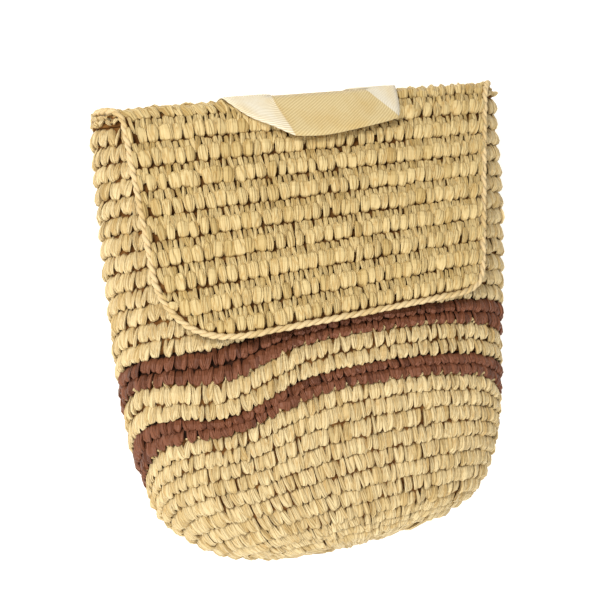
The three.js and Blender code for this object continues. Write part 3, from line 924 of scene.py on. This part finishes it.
# Edging
edging = {
    "away": 2.5 * mm,     # rope's centre outside the flap's border
    "strands": 2,
    "strand": 1.45 * mm,  # half width of each strand
    "offset": 0.85 * mm,  # of a strand from the rope's centre
    "pitch": 12.5 * mm,   # length of one turn
    "flat": 0.95,         # a strand's thickness to its width
    "groove": 0.9 * mm,   # a point nearer to the rope's centre than this is in shadow
    "crest": 0.5 * mm,    # and this much further out it is fully lit
    "lift": 2.0 * mm,     # its centre over the middle of the flap's thickness
    "step": 1.1 * mm,     # between two stations
    "slack": 0.10,        # turns by which the twist runs ahead and behind, once in 2 pi slackLength
    "slackLength": 0.031,
    "swell": 0.12,        # share by which a strand's width comes and goes, in the same way
    "swellLength": 0.0043,
    "swellApart": 2.1,    # radians between the two strands' swelling
    "toneLength": 0.011,  # its tone comes and goes once in 2 pi of these metres
    "crease": 0.06,       # spread of its spokes
    "fibreStations": 6,   # stations that the fibres' noise counts as one strand's length
}


def edgingPath():
    # The flap's two sides and its hem, away outside the border and lift above it
    points = wholeFlap["points"]
    normals = wholeFlap["normals"]
    border = np.concatenate([points[:, -1], points[-1, ::-1][1:-1], points[::-1, 0]])
    tilt = np.concatenate([normals[:, -1], normals[-1, ::-1][1:-1], normals[::-1, 0]])
    ahead = np.gradient(border, axis=0)
    away = np.cross(ahead, tilt)
    away /= np.linalg.norm(away, axis=-1, keepdims=True)
    return border + away * edging["away"] + tilt * edging["lift"], tilt


def smoothPath(path, step, passes=3):
    # Evenly spaced points along a path, each pass averaging neighbours
    for _ in range(passes):
        path = np.concatenate([path[:1], (path[:-2] + 2 * path[1:-1] + path[2:]) / 4, path[-1:]])
    way = np.concatenate([[0], np.cumsum(np.linalg.norm(np.diff(path, axis=0), axis=-1))])
    even = np.linspace(0, way[-1], int(way[-1] / step))
    return np.stack([np.interp(even, way, path[:, a]) for a in range(3)], -1), even


def ropeEdging():
    # Strands wound round the path: each strand's offset turns once in a pitch
    path, tilt = edgingPath()
    line, way = smoothPath(path, edging["step"])
    borderWay = np.concatenate([[0], np.cumsum(np.linalg.norm(np.diff(path, axis=0), axis=-1))])
    borderWay *= way[-1] / borderWay[-1]
    normal = np.stack([np.interp(way, borderWay, tilt[:, a]) for a in range(3)], -1)
    normal /= np.linalg.norm(normal, axis=-1, keepdims=True)
    along = np.gradient(line, axis=0)
    along /= np.linalg.norm(along, axis=-1, keepdims=True)
    across = np.cross(along, normal)
    across /= np.linalg.norm(across, axis=-1, keepdims=True)
    out = np.cross(across, along)
    number = np.arange(edging["strands"])[:, None]
    turns = way / edging["pitch"] + edging["slack"] * np.sin(way / edging["slackLength"])
    phase = 2 * np.pi * (turns[None] + number / edging["strands"])
    swell = 1 + edging["swell"] * np.sin(way[None] / edging["swellLength"] + number * edging["swellApart"])
    radial = np.cos(phase)[..., None] * across + np.sin(phase)[..., None] * out
    centres = line[None] + radial * edging["offset"]
    half = edging["strand"] * swell
    creases = 1 + edging["crease"] * rng.normal(size=(edging["strands"], strandSides))
    thick = half * edging["flat"]
    vertices, faces, uv = strandMesh(centres, radial, half, thick, np.zeros_like(half), creases)
    uv = uv * np.array([len(way) / edging["fibreStations"], 1.0])
    apart = np.linalg.norm(vertices - line[None, :, None], axis=-1)
    shade = np.clip((apart - edging["groove"]) / edging["crest"], 0, 1)
    wave = np.sin(way[None, :, None] / edging["toneLength"] + number[..., None])
    tone = 0.5 + 0.5 * wave + np.zeros(strandSides)
    extra = {"shade": shade.reshape(-1), "tone": tone.reshape(-1)}
    return meshObject("flap_edging_rope", vertices.reshape(-1, 3), faces, edgingStraw, extra, uv)


rope = ropeEdging()
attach(rope, "root")
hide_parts("flap_edging")
print("edging made")

# Webbing
webbing = {
    "thick": 1.6 * mm,
    "handleWidth": 0.034,
    "handleSpan": 0.128,      # across both legs of the handle, outside to outside
    "handleShift": -0.002,    # from the middle of the mouth
    "handleDrop": 0.024,      # how far down the front the loop hangs
    "handleClearance": 0.001,
    "handleLift": 0.009,      # how far its lower edge stands off the flap
    "anchor": 0.038,          # length sewn to the back
    "rib": 1.6 * mm,          # spacing of the twill's diagonal ribs
    "colour": (0.70, 0.56, 0.285, 1),
    # painted light: the colour of the handle's two flanks outside its folds, which face the lamps
    "flankLight": (0.90, 0.85, 0.70, 1),
    "shadow": (0.40, 0.27, 0.09, 1),
    "folds": ((12.6, 11.5), (16.6, 16.6)),  # stations of its two creases, at its outer and its inner edge
    "ribsTo": 3.2,            # ribs of the wave texture in one unit of its scale
    "ribWander": 0.6,
    "ribWanderScale": 2.0,
    "twillAngle": 58,         # degrees
    "crossShare": 0.25,       # height of the crossing yarn to that of the ribs
    "ribShare": 0.55,         # how far the ribs' valleys take the shadow's colour
    "stain": (0.93, 0.84, 0.66, 1),
    "stainPlaces": (0.35, 0.6),  # noise values of a full stain and of none
    "stainShare": 0.8,
    "stainsPerMetre": 60,
    "stainDetail": 4,
    "bump": 0.5,
    "bumpDistance": 0.0004,
    "roughness": 0.8,
    "sheen": 0.3,
}
# Shoulder straps under the bag: each is sewn at the top, folded back twice and sewn again near the bottom
strap = {
    "width": 0.024,
    "drop": 0.004,        # its top's distance below the handle's anchor
    "topSpread": 0.016,   # from the bag's middle, at the top and at the foot
    "footSpread": 0.076,
    "foot": 0.064,        # height of the lower end above the bottom
    "foldRise": 0.022,    # distance of the folds from the foot and from the top
    "foldFall": 0.023,
    "layerGap": 0.5 * mm,
    "foldSides": 6,       # sides of a fold's half circle
}
# Stations of the loop on the flap from its left leg to its right one, for its outer edge and then its
# inner one: x as a share of half of handleSpan, the way down as a share of handleDrop, the height as one
# of handleLift
handleLoop = np.array([
    [-1.0, -0.1, 0.0, -0.52, -0.1, 0.0],
    [-0.78, 0.25, 0.4, -0.50, -0.09, 0.0],
    [-0.54, 0.63, 0.8, -0.48, -0.09, 0.03],
    [-0.37, 0.92, 1.0, -0.46, -0.08, 0.05],
    [-0.27, 1.0, 1.0, -0.41, -0.08, 0.05],
    [0.05, 1.04, 1.0, -0.05, -0.08, 0.05],
    [0.5, 0.9, 1.0, 0.35, -0.08, 0.05],
    [0.85, 0.74, 0.85, 0.58, -0.08, 0.05],
    [0.92, 0.6, 0.75, 0.62, -0.08, 0.03],
    [0.97, 0.2, 0.35, 0.64, -0.09, 0.0],
    [1.0, -0.1, 0.0, 0.66, -0.1, 0.0],
])


def webbingMaterial():
    # Cream cotton twill: fine diagonal ribs crossed by a plain yarn, in the webbing's own UV in metres
    material, nodes, links = newMaterial("cotton_twill")
    shader = nodes["Principled BSDF"]
    uv = addNode(nodes, "UVMap", uv_map="weave")
    mapping = addNode(nodes, "Mapping", {"Rotation": (0, 0, math.radians(webbing["twillAngle"]))})
    links.new(uv.outputs[0], mapping.inputs[0])
    scale = 1 / webbing["rib"] / webbing["ribsTo"]
    wander = {"Distortion": webbing["ribWander"], "Detail Scale": webbing["ribWanderScale"]}
    ribs = addNode(nodes, "TexWave", {"Scale": scale, **wander})
    links.new(mapping.outputs[0], ribs.inputs["Vector"])
    cross = addNode(nodes, "TexWave", {"Scale": scale}, bands_direction="Y")
    links.new(uv.outputs[0], cross.inputs["Vector"])
    stains = {"Scale": webbing["stainsPerMetre"], "Detail": webbing["stainDetail"]}
    noise = addNode(nodes, "TexNoise", stains)
    links.new(uv.outputs[0], noise.inputs["Vector"])
    height = addNode(nodes, "Math", {1: webbing["crossShare"]}, operation="MULTIPLY_ADD")
    links.new(cross.outputs["Fac"], height.inputs[0])
    links.new(ribs.outputs["Fac"], height.inputs[2])
    # Painted light: the flanks outside the folds take the paler colour
    flankLight = addNode(nodes, "Attribute", attribute_name="flankLight")
    ground = mixColour(nodes, links, flankLight.outputs["Fac"], webbing["colour"], webbing["flankLight"])
    ribbed = mixColour(nodes, links, ribs.outputs["Fac"], webbing["shadow"], ground)
    stained = ramp(nodes, links, noise.outputs["Fac"], webbing["stainPlaces"], (webbing["stain"], white))
    woven = mixColour(nodes, links, webbing["ribShare"], ground, ribbed)
    links.new(mixColour(nodes, links, webbing["stainShare"], woven, stained, "MULTIPLY"),
              shader.inputs["Base Color"])
    shader.inputs["Roughness"].default_value = webbing["roughness"]
    shader.inputs["Sheen Weight"].default_value = webbing["sheen"]
    normal = addBump(nodes, links, height.outputs[0], webbing["bump"], webbing["bumpDistance"])
    links.new(normal, shader.inputs["Normal"])
    return material


twill = webbingMaterial()


def splineThrough(points, fine):
    # Catmull-Rom curve through rows of points, fine steps between each two
    padded = np.concatenate([2 * points[:1] - points[1:2], points, 2 * points[-1:] - points[-2:-1]])
    t = np.linspace(0, 1, fine, endpoint=False)[:, None]
    pieces = []
    for a, b, c, d in zip(padded[:-3], padded[1:-2], padded[2:-1], padded[3:]):
        tt = t.reshape(-1, *([1] * a.ndim))
        pieces.append(0.5 * (2 * b + (c - a) * tt + (2 * a - 5 * b + 4 * c - d) * tt**2
                             + (3 * b - a - 3 * c + d) * tt**3))
    pieces.append(points[-1:])
    return np.concatenate(pieces)


def handleLines():
    # Outer and inner edge of the handle: from its left sewn end, straight up the back, round the fold by
    # angle, over the front by the stations of handleLoop, and down to its right end in the same way
    outside = flap["wall"] / 2 + webbing["thick"] / 2 + webbing["handleClearance"]
    under = pouch["back"] - flap["seam"] - webbing["thick"] / 2
    half = webbing["handleSpan"] / 2
    middle = mouthCentre + webbing["handleShift"]
    lines = {-1: [], 1: []}
    for side in (-1, 1):
        edges = [middle + side * half, middle + side * (half - webbing["handleWidth"])]
        for t in (0, 0.5, 1):
            lines[side].append([[x, rimAt(x) - webbing["anchor"] * (1 - t), under] for x in edges])
        for degrees in (-90, -60, -30, 0, 30, 60):
            x = np.array(edges)
            lines[side].append(flapRoll(x, np.full(2, math.radians(degrees)), outside).tolist())
    loop = []
    for station in handleLoop:
        pair = []
        for share, down, lift in (station[:3], station[3:]):
            x = np.array(middle + share * half)
            height = outside + lift * webbing["handleLift"]
            if down < 0:  # still on the fold
                angle = math.acos(max(-1, -down * webbing["handleDrop"] / flap["rollReach"]))
                pair.append(flapRoll(x, np.array(angle), height).tolist())
            else:
                place = flapFront(x, np.array(down * webbing["handleDrop"] / flap["reach"]))
                pair.append((place + np.array([0, 0, height])).tolist())
        loop.append(pair)
    return np.array(lines[-1] + loop + lines[1][::-1]) + origin


def webbingPiece(name, edges, folds=None, columns=9, fine=8, edgeSoft=0.35):
    # A strip of webbing: straight lines between its two edges, moved half its thickness out and in along the
    # normal, less at the selvedges by edgeSoft. Outside the two folds painted light makes it paler
    lines = splineThrough(edges, fine)
    # mask of the painted light on the flanks outside the two folds
    flankLight = np.zeros((len(lines), columns))
    if folds:
        station = np.arange(len(lines))[:, None] / fine
        across = np.linspace(0, 1, columns)[None, :]
        left, right = (outer * (1 - across) + inner * across for outer, inner in folds)
        flankLight = np.clip((left - station) * fine, 0, 1) + np.clip((station - right) * fine, 0, 1)
    share = np.linspace(0, 1, columns)[None, :, None]
    grid = lines[:, :1] * (1 - share) + lines[:, 1:] * share
    along = np.gradient(grid, axis=0)
    sideways = np.gradient(grid, axis=1)
    normal = np.cross(along, sideways)
    normal /= np.maximum(np.linalg.norm(normal, axis=-1, keepdims=True), tiny)
    thin = np.ones(columns)
    thin[[0, -1]] = edgeSoft
    half = webbing["thick"] / 2 * thin[None, :, None]
    top, low = grid + normal * half, grid - normal * half
    made = closedWall(name, top, low, twill, False)
    mesh = made.data
    way = np.concatenate([[0], np.cumsum(np.linalg.norm(np.diff(grid[:, columns // 2], axis=0), axis=-1))])
    width = np.linalg.norm(edges[0, 0] - edges[0, 1])
    perVertex = np.stack([np.broadcast_to(way[:, None], (len(way), columns)),
                          np.broadcast_to(share[..., 0] * width, (len(way), columns))], -1).reshape(-1, 2)
    perVertex = np.concatenate([perVertex, perVertex])
    loops = np.empty(len(mesh.loops), np.int32)
    mesh.loops.foreach_get("vertex_index", loops)
    layer = mesh.uv_layers.new(name="weave")
    layer.data.foreach_set("uv", perVertex[loops].astype(np.float32).reshape(-1))
    flankLightPoints = np.concatenate([flankLight.reshape(-1), flankLight.reshape(-1)])
    mesh.attributes.new("flankLight", "FLOAT", "POINT").data.foreach_set("value", flankLightPoints.astype(np.float32))
    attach(made, "root")
    return made, float(way[-1])


def strapLines(side):
    # Edges of a shoulder strap along its folded middle line, whose folds are half circles
    thick = webbing["thick"]
    radius = (thick + strap["layerGap"]) / 2

    def level(layer):
        # Height of a layer's middle over the floor
        return thick / 2 + layer * 2 * radius

    def fold(y, layer, direction):
        # Half a circle at y from a layer down to the one below it
        angle = np.pi / 2 - np.pi * np.arange(strap["foldSides"] + 1) / strap["foldSides"]
        centre = level(layer) - radius
        return [(y + direction * radius * math.cos(a), centre + radius * math.sin(a)) for a in angle]

    top = rimAt(mouthCentre) - webbing["anchor"] - strap["drop"]
    low, high = strap["foot"] + strap["foldRise"], top - strap["foldFall"]
    line = [(top, level(2)), *fold(low, 2, -1), *fold(high, 1, 1), (low - 2 * radius, level(0)),
            ((low + strap["foot"]) / 2 - 2 * radius, level(1)), (strap["foot"], level(2)),
            (strap["foot"] - webbing["anchor"] / 2, level(2))]
    way = np.array([side * (strap["footSpread"] - strap["topSpread"]), strap["foot"] - top])
    way /= np.linalg.norm(way)
    y, z = np.array(line).T
    x = mouthCentre + side * strap["topSpread"] + way[0] * (top - y) / -way[1]
    centre = np.stack([x, y, z], -1)
    across = np.array([-way[1], way[0], 0]) * strap["width"] / 2
    return np.stack([centre - across, centre + across], 1) + origin


handle, handleLength = webbingPiece("top_handle_webbing", handleLines(), webbing["folds"])
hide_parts("top_handle")
lengths = {"top handle": handleLength}
for side, name in ((-1, "shoulder_strap_left"), (1, "shoulder_strap_right")):
    band, bandLength = webbingPiece(name + "_webbing", strapLines(side), fine=2)
    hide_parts(name)
    lengths[name] = bandLength
print("webbing made, lengths in metres", lengths)

# Floor and light
stage = {
    "floor": (0.97, 0.955, 0.92, 1),
    "roughness": 0.9,
    "glow": (1.0, 0.97, 0.90, 1),  # light that the paper gives off itself
    "glowStrength": 0.36,
    "size": 3.0,                   # metres
    "world": (1.0, 0.99, 0.97, 1),
    "worldStrength": 0.52,
}
lamps = {
    # place in metres, size in metres, power in watts, colour; each looks at the floor under the bag's middle
    "key": ((-0.85, 0.55, 1.2), 0.45, 15.0, (1.0, 0.97, 0.92)),
    "fill": ((-0.25, -1.1, 1.25), 1.0, 17.0, (0.98, 0.99, 1.0)),
}


def addFloor():
    # One square of plain pale paper that glows a little, so that it stays bright round the bag
    half = stage["size"] / 2
    corners = np.array([[-half, -half, 0], [half, -half, 0], [half, half, 0], [-half, half, 0]])
    material, nodes, _ = newMaterial("floor")
    shader = nodes["Principled BSDF"]
    shader.inputs["Base Color"].default_value = stage["floor"]
    shader.inputs["Roughness"].default_value = stage["roughness"]
    shader.inputs["Emission Color"].default_value = stage["glow"]
    shader.inputs["Emission Strength"].default_value = stage["glowStrength"]
    floor = meshObject("floor", corners, [np.array([[0, 1, 2, 3]])], material, smooth=False)


def addLights():
    # An even pale surrounding, and square lamps whose Z axis runs from the floor under the bag's middle to
    # them
    world = bpy.data.worlds.new("studio")
    bpy.context.scene.world = world
    world.use_nodes = True
    world.node_tree.nodes["Background"].inputs[0].default_value = stage["world"]
    world.node_tree.nodes["Background"].inputs[1].default_value = stage["worldStrength"]
    for name, (place, size, watts, colour) in lamps.items():
        data = bpy.data.lights.new(name, "AREA")
        data.size = size
        data.energy = watts
        data.color = colour
        lamp = bpy.data.objects.new(name, data)
        bpy.context.collection.objects.link(lamp)
        back = np.array(place) / np.linalg.norm(place)
        right = np.cross([0, 0, 1], back)
        right /= np.linalg.norm(right)
        turn = np.array([right, np.cross(back, right), back]).T
        lamp.matrix_world = Matrix.Translation(place) @ Matrix(turn.tolist()).to_4x4()


addFloor()
addLights()
bpy.context.scene.view_settings.view_transform = "Standard"
print("floor and lights placed")
